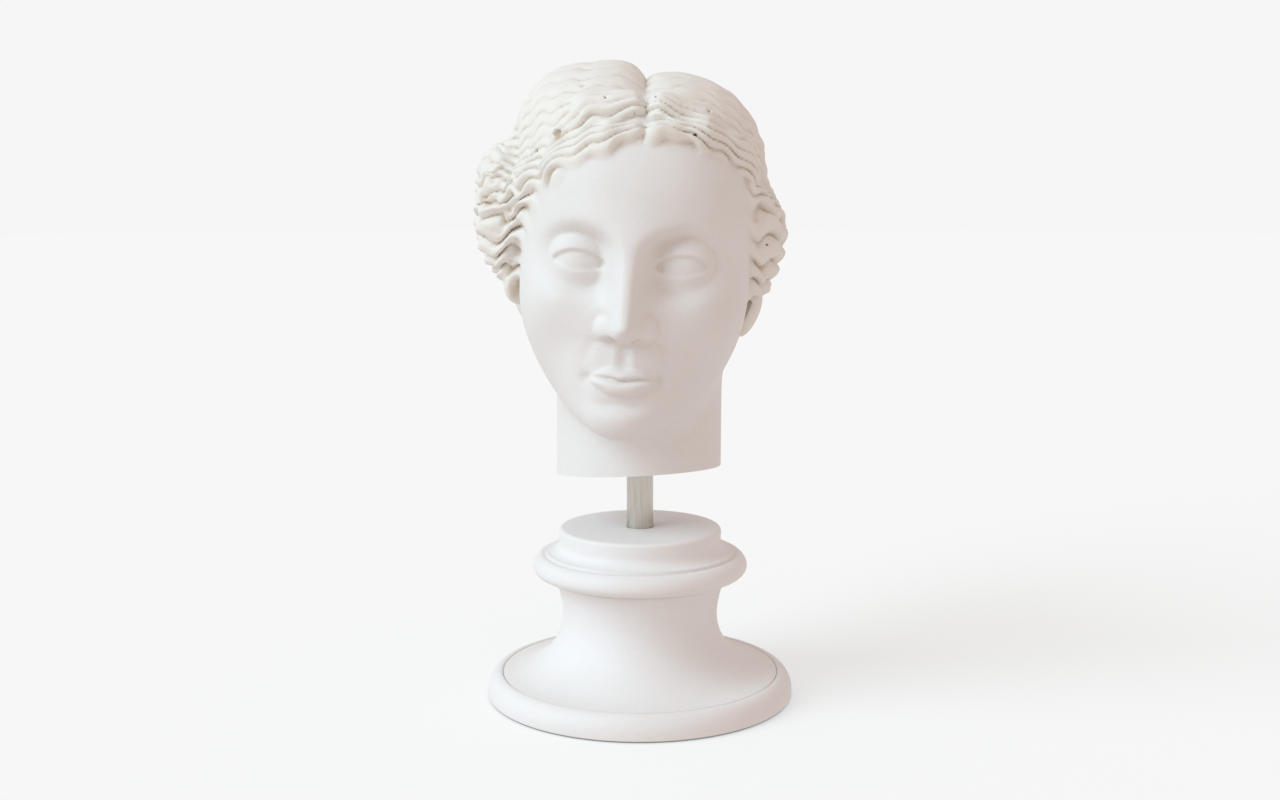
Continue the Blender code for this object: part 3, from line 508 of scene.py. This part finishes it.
def combing(side):
    """Points spread over one side of the hair, and how far across and along the combing each one lies."""
    points, across, along = [], [], []
    rows = [(LEFT_ROWS if side < 0 else RIGHT_ROWS, t, 0) for t in np.arange(0, 1.001, 0.03)]
    rows += [(SIDE_ROWS[side], t, HAIR["side start"]) for t in np.arange(-0.6, -0.04, 0.035)]
    for among, t, start in rows:
        _, total = spline(between(among, t), 8)
        path, total = spline(between(among, t), int(total / 2.2))
        points.append(path)
        across.append(np.full(len(path), t))
        along.append(start + np.linspace(0, total, len(path)))
    return settle(np.vstack(points)), np.concatenate(across), np.concatenate(along)


def combed(points, side):
    """How far across and along the combing of one side these points lie."""
    near, across, along = combing(side)
    both = np.stack([across, along], axis=1).astype(np.float32)
    near = near.astype(np.float32)
    out = []
    for some in np.array_split(points.astype(np.float32), max(1, len(points) // 1500)):
        apart = (some**2).sum(1)[:, None] + (near**2).sum(1)[None, :] - 2 * some @ near.T
        apart -= apart.min(axis=1, keepdims=True)
        weight = np.exp(-apart / 9.0)
        out.append(weight @ both / weight.sum(axis=1, keepdims=True))
    return np.vstack(out)


def at_steps(v, steps):
    return np.interp(v, [a for a, _ in steps], [b for _, b in steps])


def relief(t, s, side, fade, strands):
    """The height of the wavy locks, t across and s along the combing."""
    a = 2 * math.pi * s / 14.5 + 7 * t + side + 1.2 * np.sin(s / 17 + 6 * t) + 0.4 * np.sin(s / 9 - 13 * t)
    sway = np.clip(s / 55, 0.2, 1) * (1 - 0.6 * rise(s - 86, 7))
    bend = at_steps(t, BEND) * sway
    bent = t + bend * fade * np.sin(a) + 0.012 * np.sin(s / 6 + 9 * t + 2 * side)
    v = at_steps(bent, LOCKS)
    lock = np.floor(v)
    c = 2 * (v - lock) - 1
    own = np.sin(12.9898 * lock + 3 * side)
    tall = at_steps(t, STANDING) * fade
    tall = tall * np.where(t > 0.3, at_steps(s, WORN), 1)
    ridge = 1 - np.abs(c) ** 2.4
    h = tall * (ridge * (1 + 0.25 * own + 0.3 * sway * np.cos(a + own)) - 0.55)
    if strands:
        w = at_steps(bent, STRANDS) + 0.35 * np.sin(s / 4 + 3 * own)
        d = 2 * (w - np.floor(w)) - 1
        h += 0.30 * np.minimum(1, tall) * np.sqrt(np.clip(ridge, 0, 1)) * (0.4 - d * d)
    return h


def hair(clay, strands):
    """The mass of the hair with its locks in relief, laid over the head."""
    step, reach = HAIR["grid"], HAIR["reach"]
    axes = [np.arange(a[0] - step, a[-1] + 2 * step, step) for a in clay.axes]
    x, y, z = np.meshgrid(*axes, indexing="ij")
    places = np.stack([x.ravel(), y.ravel(), z.ravel()], axis=1)
    coarse = np.full(len(places), 1e3)
    roughly = ((places - (-4, 12, 28)) ** 2).sum(axis=1) < 100**2
    coarse[roughly] = hair_distance(places[roughly])
    shape = x.shape

    def spread(values, at):
        """Values of the coarse grid at finer places."""
        where = [(p - a[0]) / step for p, a in zip(at, axes)]
        low = [np.floor(w).astype(int) for w in where]
        part = [w - n for w, n in zip(where, low)]
        total = 0
        for i in (0, 1):
            for j in (0, 1):
                for k in (0, 1):
                    a, b, c = (p if n else 1 - p for p, n in zip(part, (i, j, k)))
                    total = total + a * b * c * values[low[0] + i, low[1] + j, low[2] + k]
        return total

    lowest = [np.searchsorted(a, v) for a, v in zip(clay.axes, (-88, -70, -42))]
    cut = tuple(slice(n, None) for n in lowest)
    x, y, z = np.meshgrid(*[a[c] for a, c in zip(clay.axes, cut)], indexing="ij")
    mass = spread(coarse.reshape(shape), (x, y, z))
    close = np.abs(mass) < reach
    at = np.stack([x[close], y[close], z[close]], axis=1).astype(float)
    fine = np.zeros(len(at))
    exact = hair_distance(at)
    for side in (-1, 1):
        band = side * (places[:, 0] - parting_x(places[:, 1])) > -2 * step
        band &= np.abs(coarse) < reach + 2 * step
        found = np.zeros((len(places), 2), np.float32)
        found[band] = combed(places[band], side)
        mine = side * (at[:, 0] - parting_x(at[:, 1])) >= 0
        own = at[mine].T
        t = spread(found[:, 0].reshape(shape), own)
        s = spread(found[:, 1].reshape(shape), own)
        fade = np.clip((np.linalg.norm(at[mine] - NAPE, axis=1) - 8) / 85, 0.05, 1) ** 1.3
        fine[mine] = relief(t, s, side, fade, strands)
    mass[close] = exact - fine
    # thin and shallow at the hairline, and to its full height further in
    f = clay.field[cut]
    thick = np.clip(f - mass, 0, 60)
    clay.field[cut] = f - thick * (1 - np.exp(-((thick / 4.5) ** 1.2)))


def knot(clay, strands):
    """The coil of hair at the nape."""
    centre, radii = np.array([-2.0, 77, -9]), np.array([22.0, 14, 20])
    cut, x, y, z = clay.part(centre, 30)
    x, y, z = x - centre[0], y - centre[1], z - centre[2]
    k0 = np.sqrt((x / radii[0]) ** 2 + (y / radii[1]) ** 2 + (z / radii[2]) ** 2)
    k1 = np.sqrt((x / radii[0] ** 2) ** 2 + (y / radii[1] ** 2) ** 2 + (z / radii[2] ** 2) ** 2) + 1e-9
    round_about = np.arctan2(z, x)
    v = np.hypot(x / 1.1, z) / 7.0 - round_about / (2 * math.pi)
    c = 2 * (v - np.floor(v)) - 1
    h = 2.6 * ((1 - np.abs(c) ** 2.4) - 0.5) * np.clip(np.hypot(x, z) / 4, 0, 1)
    if strands:
        d = 2 * (4 * v - np.floor(4 * v)) - 1
        h = h + 0.3 * (0.4 - d * d)
    clay.mix(cut, (k0 * (k0 - 1) / k1 - h).astype(np.float32), 1.5, False)


def ear_lobes(clay):
    for s in (-1, 1):
        clay.blob((s * 53.5, 1, -24), (4.4, 8, 12), 1.5, turn=(8, s * 20, 0))
        clay.limb((s * 53.5, -5.5, -15), (s * 50.5, -5.5, -25), 1.9, 1.4, 0.6, True)


def bare_head(step):
    clay = Clay((-88, -92, -116), (82, 98, 96), step)
    skull(clay)
    face(clay)
    clay.soften(0.6)
    clay.limb((6.4, 8, -116), (1.5, 12, -30), 39.6, 39.6, 16)
    return clay


def dress(clay, strands):
    """Adds the hair and the ear lobes, and ends the neck flat, under where it is cut."""
    hair(clay, strands)
    knot(clay, strands)
    ear_lobes(clay)
    clay.field = np.maximum(clay.field, -112 - clay.axes[2][None, None, :])


# Small pits in the front of the hair: place across and up, and radius
DRILL_HOLES = [(-15.9, 70.4, 0.7), (-2.7, 64.5, 0.6), (6, 71.7, 0.7), (29.2, 67.5, 1.0), (24, 56.2, 1.0),
               (45.8, 57.6, 0.8), (-58.4, 34.7, 1.0), (-36.2, 65.6, 0.5), (59, 10, 0.8), (-46, 46, 0.6)]
# Wider, shallow ones
SHALLOW_PITS = [(-36.7, 53.6, 2.3), (-28.7, 75.8, 1.5)]
# Brown and yellowish stains: middle and reach
STAINS = [((-36.7, -44.6, 53.6), 3.0), ((-69.5, -23.7, 21.5), 2.6), ((-70, -22, 27), 2.2),
          ((58, -14, -19), 3.0), ((-56, -16, -20), 3.2), ((46, -34, 57), 2.0)]


def front_of(clay, x, z):
    """How far back the surface lies at this place, seen from the front."""
    i = int(round((x - clay.low[0]) / clay.step))
    k = int(round((z - clay.low[2]) / clay.step))
    return float(clay.axes[1][(clay.field[i, :, k] < 0).argmax()])


def drill_holes(clay):
    for x, z, r in DRILL_HOLES:
        y = front_of(clay, x, z)
        clay.limb((x, y - 1, z), (x, y + 2 * r, z - 0.5), r, 0.7 * r, 0.5, True)
    for x, z, r in SHALLOW_PITS:
        clay.blob((x, front_of(clay, x, z) - 0.3, z), (1.3 * r, r, 0.8 * r), 0.8, True, (0, 12, 0))


def material(name):
    """A new material, its shader and a way to add nodes to it."""
    found = bpy.data.materials.new(name)
    found.use_nodes = True
    nodes, links = found.node_tree.nodes, found.node_tree.links
    shader = nodes["Principled BSDF"]

    def add(kind, values=None, **inputs):
        node = nodes.new(kind)
        for key, value in (values or {}).items():
            setattr(node, key, value)
        for key, value in inputs.items():
            by_number = key[1:].isdigit()
            socket = node.inputs[int(key[1:]) if by_number else key.replace("_", " ")]
            if isinstance(value, bpy.types.NodeSocket):
                links.new(value, socket)
            else:
                socket.default_value = value
        return node

    return found, shader, add, links


def ramp(add, value, stops):
    node = add("ShaderNodeValToRGB", Fac=value)
    elements = node.color_ramp.elements
    while len(elements) < len(stops):
        elements.new(0.5)
    for element, (place, colour) in zip(elements, stops):
        element.position = place
        element.color = (*colour, 1) if not isinstance(colour, float) else (colour, colour, colour, 1)
    return node.outputs["Color"]


def mixed(add, amount, a, b, blend="MIX"):
    node = add("ShaderNodeMix", {"data_type": "RGBA", "blend_type": blend}, i0=amount, i6=a, i7=b)
    return node.outputs[2]


def noise(add, place, scale, detail=3.0):
    found = add("ShaderNodeTexNoise", Vector=place, Scale=scale, Detail=detail, Roughness=0.55)
    return found.outputs["Fac"]


def product(add, a, b):
    return add("ShaderNodeMath", {"operation": "MULTIPLY"}, i0=a, i1=b).outputs[0]


def point_value(add, name):
    return add("ShaderNodeAttribute", {"attribute_name": name}).outputs["Fac"]


def cast_stone(name, colours, carved):
    """Cast marble powder: grain, faint clouds, stains where carved; painted shade in the plinth's lines and
    painted shadow at its foot.
    """
    found, shader, add, links = material(name)
    place = add("ShaderNodeTexCoord").outputs["Object"]
    pale, cloudy = colours
    clouds = noise(add, place, CLOUD_SCALE, 4.0)
    colour = mixed(add, ramp(add, clouds, [(0.35, 0.0), (0.7, 1.0)]), (*pale, 1), (*cloudy, 1))
    grain = noise(add, place, GRAIN_SCALE, 2.0)
    grain_colour = ramp(add, grain, [(0.3, GRAIN_COLOURS[0]), (0.7, GRAIN_COLOURS[1])])
    colour = mixed(add, GRAIN_AMOUNT, colour, grain_colour, "MULTIPLY")
    groove = point_value(add, "groove")
    if carved:
        patches = noise(add, place, PATCH_SCALE, 4.0)
        uneven = ramp(add, patches, [(0.3, 0.35), (0.65, 1.0)])
        colour = mixed(add, point_value(add, "hair"), colour, (*HAIR_COLOUR, 1))
        colour = mixed(add, product(add, groove, uneven), colour, (*DIRT_COLOUR, 1))
        colour = mixed(add, product(add, point_value(add, "stain"), uneven), colour, (*STAIN_COLOUR, 1))
    else:
        # painted shade along the plinth's fine lines, where their grooves would fall in shade
        colour = mixed(add, groove, colour, (*LINE_SHADE_COLOUR, 1))
        # painted contact shadow: a dark line where the foot meets what it stands on, by height in millimetres
        height = add("ShaderNodeSeparateXYZ", Vector=place).outputs["Z"]
        low = ramp(add, product(add, height, 1000.0), [(0.55, 1.0), (0.95, 0.0)])
        colour = mixed(add, low, colour, (*FOOT_PAINTED_SHADOW, 1))
    links.new(colour, shader.inputs["Base Color"])
    links.new(ramp(add, clouds, [(0.3, 0.55), (0.7, 0.68)]), shader.inputs["Roughness"])
    pores = noise(add, place, PORE_SCALE)
    bump = add("ShaderNodeBump", Strength=0.25, Distance=0.0004, Height=pores)
    links.new(bump.outputs["Normal"], shader.inputs["Normal"])
    return found


def brushed_steel():
    """Round bar, brushed along its length."""
    found, shader, add, links = material("brushed steel bar")
    place = add("ShaderNodeTexCoord").outputs["Object"]
    along = add("ShaderNodeMapping", Vector=place, Scale=(1.0, 1.0, BRUSHING_ALONG))
    lines = noise(add, along.outputs["Vector"], BRUSHING_SCALE)
    colour = ramp(add, lines, [(0.3, STEEL_COLOURS[0]), (0.7, STEEL_COLOURS[1])])
    links.new(colour, shader.inputs["Base Color"])
    links.new(ramp(add, lines, [(0.3, 0.28), (0.7, 0.42)]), shader.inputs["Roughness"])
    shader.inputs["Metallic"].default_value = 1.0
    bump = add("ShaderNodeBump", Strength=0.2, Distance=0.0001, Height=lines)
    links.new(bump.outputs["Normal"], shader.inputs["Normal"])
    return found


def placed(name, mesh):
    obj = bpy.data.objects.new(name, mesh)
    bpy.context.scene.collection.objects.link(obj)
    return obj


def primitive(name, build, **sizes):
    form = bmesh.new()
    build(form, **sizes)
    mesh = bpy.data.meshes.new(name)
    form.to_mesh(mesh)
    form.free()
    return placed(name, mesh)


def rod_socket():
    """A cutter as long and wide as the rod with its clearance."""
    radius = ROD_DIAMETER / 2 + CLEARANCE
    tool = primitive("rod socket", bmesh.ops.create_cone, cap_ends=True, segments=SOCKET_SIDES,
                     radius1=radius, radius2=radius, depth=ROD_LENGTH + 2 * CLEARANCE)
    tool.location = (0, 0, ROD_MIDDLE)
    return tool


def subtract(obj, tools):
    """Cuts the tools out of the object for good and removes them."""
    for tool in tools:
        cut = obj.modifiers.new(tool.name, "BOOLEAN")
        cut.operation = "DIFFERENCE"
        cut.solver = "EXACT"
        cut.object = tool
    bpy.context.view_layer.update()
    applied(obj)
    for tool in tools:
        bpy.data.objects.remove(tool)


def applied(obj):
    """The object's mesh with its modifiers worked out for good, in world coordinates."""
    graph = bpy.context.evaluated_depsgraph_get()
    mesh = bpy.data.meshes.new_from_object(obj.evaluated_get(graph), depsgraph=graph)
    mesh.transform(obj.matrix_world)
    obj.modifiers.clear()
    obj.data = mesh
    obj.matrix_world = Matrix()


def point_values(mesh, name, values):
    mesh.attributes.new(name, "FLOAT", "POINT").data.foreach_set("value", values.astype(np.float32))


def shaded(obj, sharp, made_of):
    """Makes the object smooth but for edges over this many degrees, and all of one material."""
    obj.data.shade_smooth()
    obj.data.set_sharp_from_angle(angle=math.radians(sharp))
    obj.data.materials.clear()
    obj.data.materials.append(made_of)


def groove_depth(mesh, rounds=14):
    """How far each point lies below the surface round about it, in millimetres."""
    count = len(mesh.vertices)
    p = np.empty(count * 3, np.float32)
    mesh.vertices.foreach_get("co", p)
    p = p.reshape(-1, 3)
    n = np.empty(count * 3, np.float32)
    mesh.vertex_normals.foreach_get("vector", n)
    edges = np.empty(len(mesh.edges) * 2, np.int32)
    mesh.edges.foreach_get("vertices", edges)
    a, b = edges.reshape(-1, 2).T
    ends, others = np.concatenate([a, b]), np.concatenate([b, a])
    near = np.maximum(np.bincount(ends, minlength=count), 1)
    q = p.copy()
    for _ in range(rounds):
        for k in range(3):
            q[:, k] = 0.5 * q[:, k] + 0.5 * np.bincount(ends, weights=q[others, k], minlength=count) / near
    return 1000 * ((q - p) * n.reshape(-1, 3)).sum(axis=1), p


def sampled(clay, field, points):
    """The field's values at points in the clay's own units."""
    at = np.round((points - clay.low) / clay.step).astype(int)
    at = np.clip(at, 0, np.array(field.shape) - 1)
    return field[at[:, 0], at[:, 1], at[:, 2]]


def head():
    clay = bare_head(FINE_GRID)
    bare = clay.field.copy()
    dress(clay, strands=True)
    drill_holes(clay)
    obj = placed("head_carved", clay.mesh("head_carved"))
    thin = obj.modifiers.new("fewer faces", "DECIMATE")
    thin.ratio = min(1, HEAD_TRIANGLES / (2 * len(obj.data.polygons)))
    applied(obj)
    deep, points = groove_depth(obj.data)
    hairy = np.clip(sampled(clay, bare, points / UNIT) - HAIR_FROM, 0, 1)
    dirt = np.clip((deep - DIRT_FROM) / DIRT_FULL, 0, 1) * (DIRT_ON_SKIN + (1 - DIRT_ON_SKIN) * hairy)
    apart = [np.linalg.norm(points / UNIT - middle, axis=1) / reach for middle, reach in STAINS]
    point_values(obj.data, "hair", hairy)
    point_values(obj.data, "groove", dirt)
    point_values(obj.data, "stain", sum(STAIN_AMOUNT * np.exp(-(d**2)) for d in apart))
    obj.location = (HEAD_X, 0, CUT_LEVEL + EYES_ABOVE_CUT)
    obj.rotation_euler = (0, math.radians(HEAD_ROLL), math.radians(HEAD_YAW))

    below = primitive("neck cut", bmesh.ops.create_cube, size=CUTTER_SIZE)
    up = Vector((-CUT_RISE_X, -CUT_RISE_Y, 1)).normalized()
    below.rotation_mode = "QUATERNION"
    below.rotation_quaternion = up.to_track_quat("Z", "Y")
    below.location = Vector((0, 0, CUT_LEVEL)) - up * CUTTER_SIZE / 2
    subtract(obj, [below, rod_socket()])
    shaded(obj, 50, cast_stone("cast stone, head", HEAD_STONE, carved=True))
    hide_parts("head")
    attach(obj, "root")


def plinth_profile():
    """Radius and height down the outside of the plinth, with its edges rounded."""
    under_plate = PLINTH_HEIGHT - PLATE_THICKNESS
    lip = FOOT_RADIUS - FOOT_SHOULDER
    points = [(0, PLINTH_HEIGHT)]

    def arc(r, z, size, start, stop, steps):
        for i in range(steps + 1):
            a = math.radians(start + (stop - start) * i / steps)
            points.append((r + size[0] * math.cos(a), z + size[1] * math.sin(a)))

    def edge(r, z, size, start, stop, steps):
        """A rounded edge that comes out to radius r at height z."""
        arc(r - size[0], z, size, start, stop, steps)

    edge(PLATE_RADIUS, PLINTH_HEIGHT - PLATE_EDGE[1], PLATE_EDGE, 90, 0, 8)
    # hollow from the plate down to the collar's shoulder, ending in a fine line
    start = PLATE_RADIUS + HOLLOW_START[0]
    points.append((start, under_plate + HOLLOW_START[1]))
    arc(start + HOLLOW[0], under_plate + HOLLOW_LEVEL, HOLLOW, 180, 262, 8)
    points.extend((PLATE_RADIUS + r, under_plate + z) for r, z in HOLLOW_END)
    edge(COLLAR_RADIUS, COLLAR_LEVEL, COLLAR_TOP, 66, 6, 11)
    edge(COLLAR_RADIUS, COLLAR_LEVEL, COLLAR_UNDER, 0, -80, 12)
    # waist, flaring as a quarter of an ellipse down to the foot
    points.extend((WAIST_RADIUS + r, z) for r, z in BELOW_COLLAR)
    arc(lip, WAIST_LEVEL, (WAIST_RADIUS - lip, FOOT_HEIGHT - WAIST_LEVEL), 0, 88, 24)
    # fine line round the foot's shoulder, then its quarter round edge
    points.extend((lip + r, FOOT_HEIGHT + z) for r, z in FOOT_LINE)
    edge(FOOT_RADIUS, FOOT_EDGE_LEVEL, FOOT_EDGE, 84, 0, 16)
    edge(FOOT_RADIUS, FOOT_UNDER[1], FOOT_UNDER, 0, -90, 5)
    points.append((0, 0))
    return points


def plinth():
    profile = plinth_profile()
    mesh = bpy.data.meshes.new("plinth_turned")
    mesh.from_pydata([(r, 0, z) for r, z in profile], [(i, i + 1) for i in range(len(profile) - 1)], [])
    obj = placed("plinth_turned", mesh)
    screw = obj.modifiers.new("turned", "SCREW")
    screw.angle = 2 * math.pi
    screw.steps = screw.render_steps = TURNED_STEPS
    screw.use_merge_vertices = True
    screw.merge_threshold = SEAM
    subtract(obj, [rod_socket()])
    places = np.empty(3 * len(obj.data.vertices), np.float32)
    obj.data.vertices.foreach_get("co", places)
    x, y, z = places.reshape(-1, 3).T
    # painted shade along the fine lines, kept in the groove values
    apart = [np.hypot(np.hypot(x, y) - r, z - level) / FINE_LINE_WIDTH for r, level in FINE_LINES]
    point_values(obj.data, "groove", sum(np.exp(-(d**2)) for d in apart))
    shaded(obj, 42, cast_stone("cast stone, plinth", PLINTH_STONE, carved=False))
    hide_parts("plinth")
    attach(obj, "root")


def rod():
    obj = primitive("rod_brushed", bmesh.ops.create_cone, cap_ends=True, segments=ROD_SIDES,
                    radius1=ROD_DIAMETER / 2, radius2=ROD_DIAMETER / 2, depth=ROD_LENGTH)
    obj.location = (0, 0, ROD_MIDDLE)
    edge = obj.modifiers.new("edge", "BEVEL")
    edge.width = ROD_EDGE
    edge.segments = 2
    edge.limit_method = "ANGLE"
    shaded(obj, 40, brushed_steel())
    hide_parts("rod")
    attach(obj, "root")


# The camera, as fitted to the photograph, with angles in degrees and its lens and sensor in millimetres
CAMERA_DISTANCE = 0.754
CAMERA_HEIGHT = 0.253
CAMERA_DOWN = 8.28
CAMERA_LENS = 45
CAMERA_SENSOR = 36
# The paper all round, the floor, which gives off part of its own light, and the key and the fill
PAPER = (0.92, 0.92, 0.92)
PAPER_RADIUS = 6.0
FLOOR_RADIUS = 5.9
FLOOR_LEVEL = -0.0002
FLOOR_COLOUR = (0.60, 0.51, 0.47)
FLOOR_GLOW = (0.375, 0.476, 0.512)
KEY_LEVEL = 0.52
KEY_COLOUR = (0.73, 1.0, 1.12)
KEY_ELEVATION = 33
KEY_FROM_FRONT = 64
KEY_ACROSS = 40
FILL_COLOUR = (0.71, 0.605, 0.565)


def plain(name, colour, glow):
    found, shader, _, _ = material(name)
    shader.inputs["Base Color"].default_value = (*colour, 1)
    shader.inputs["Roughness"].default_value = 0.95
    shader.inputs["Specular IOR Level"].default_value = 0.0
    shader.inputs["Emission Color"].default_value = (*glow, 1)
    shader.inputs["Emission Strength"].default_value = 1.0
    return found


def studio():
    floor = primitive("floor", bmesh.ops.create_circle, cap_ends=True, segments=64, radius=FLOOR_RADIUS)
    floor.location = (0, 0, FLOOR_LEVEL)
    floor.data.materials.append(plain("pale floor", FLOOR_COLOUR, FLOOR_GLOW))
    floor.visible_diffuse = False
    # an even pale backdrop all round that gives no light itself
    dome = primitive("backdrop", bmesh.ops.create_uvsphere, u_segments=48, v_segments=24,
                     radius=PAPER_RADIUS)
    dome.data.shade_smooth()
    dome.data.materials.append(plain("pale backdrop", (0, 0, 0), PAPER))
    dome.visible_diffuse = dome.visible_glossy = dome.visible_shadow = False
    dome.visible_transmission = dome.visible_volume_scatter = False

    sun = bpy.data.lights.new("key", "SUN")
    sun.energy = KEY_LEVEL * math.pi
    sun.color = KEY_COLOUR
    sun.angle = math.radians(KEY_ACROSS)
    key = bpy.data.objects.new("key", sun)
    bpy.context.scene.collection.objects.link(key)
    side, up = math.radians(KEY_FROM_FRONT), math.radians(KEY_ELEVATION)
    towards = Vector((-math.sin(side) * math.cos(up), -math.cos(side) * math.cos(up), math.sin(up)))
    key.rotation_euler = towards.to_track_quat("Z", "Y").to_euler()

    world = bpy.data.worlds.new("fill")
    bpy.context.scene.world = world
    world.use_nodes = True
    world.node_tree.nodes["Background"].inputs["Color"].default_value = (*FILL_COLOUR, 1)

    camera = bpy.data.objects.new("camera", bpy.data.cameras.new("camera"))
    bpy.context.scene.collection.objects.link(camera)
    camera.data.lens = CAMERA_LENS
    camera.data.sensor_width = CAMERA_SENSOR
    camera.location = (0, -CAMERA_DISTANCE, CAMERA_HEIGHT)
    camera.rotation_euler = (math.radians(90 - CAMERA_DOWN), 0, 0)
    bpy.context.scene.camera = camera
    bpy.context.scene.view_settings.view_transform = "Standard"


head()
plinth()
rod()
studio()
bpy.context.view_layer.update()
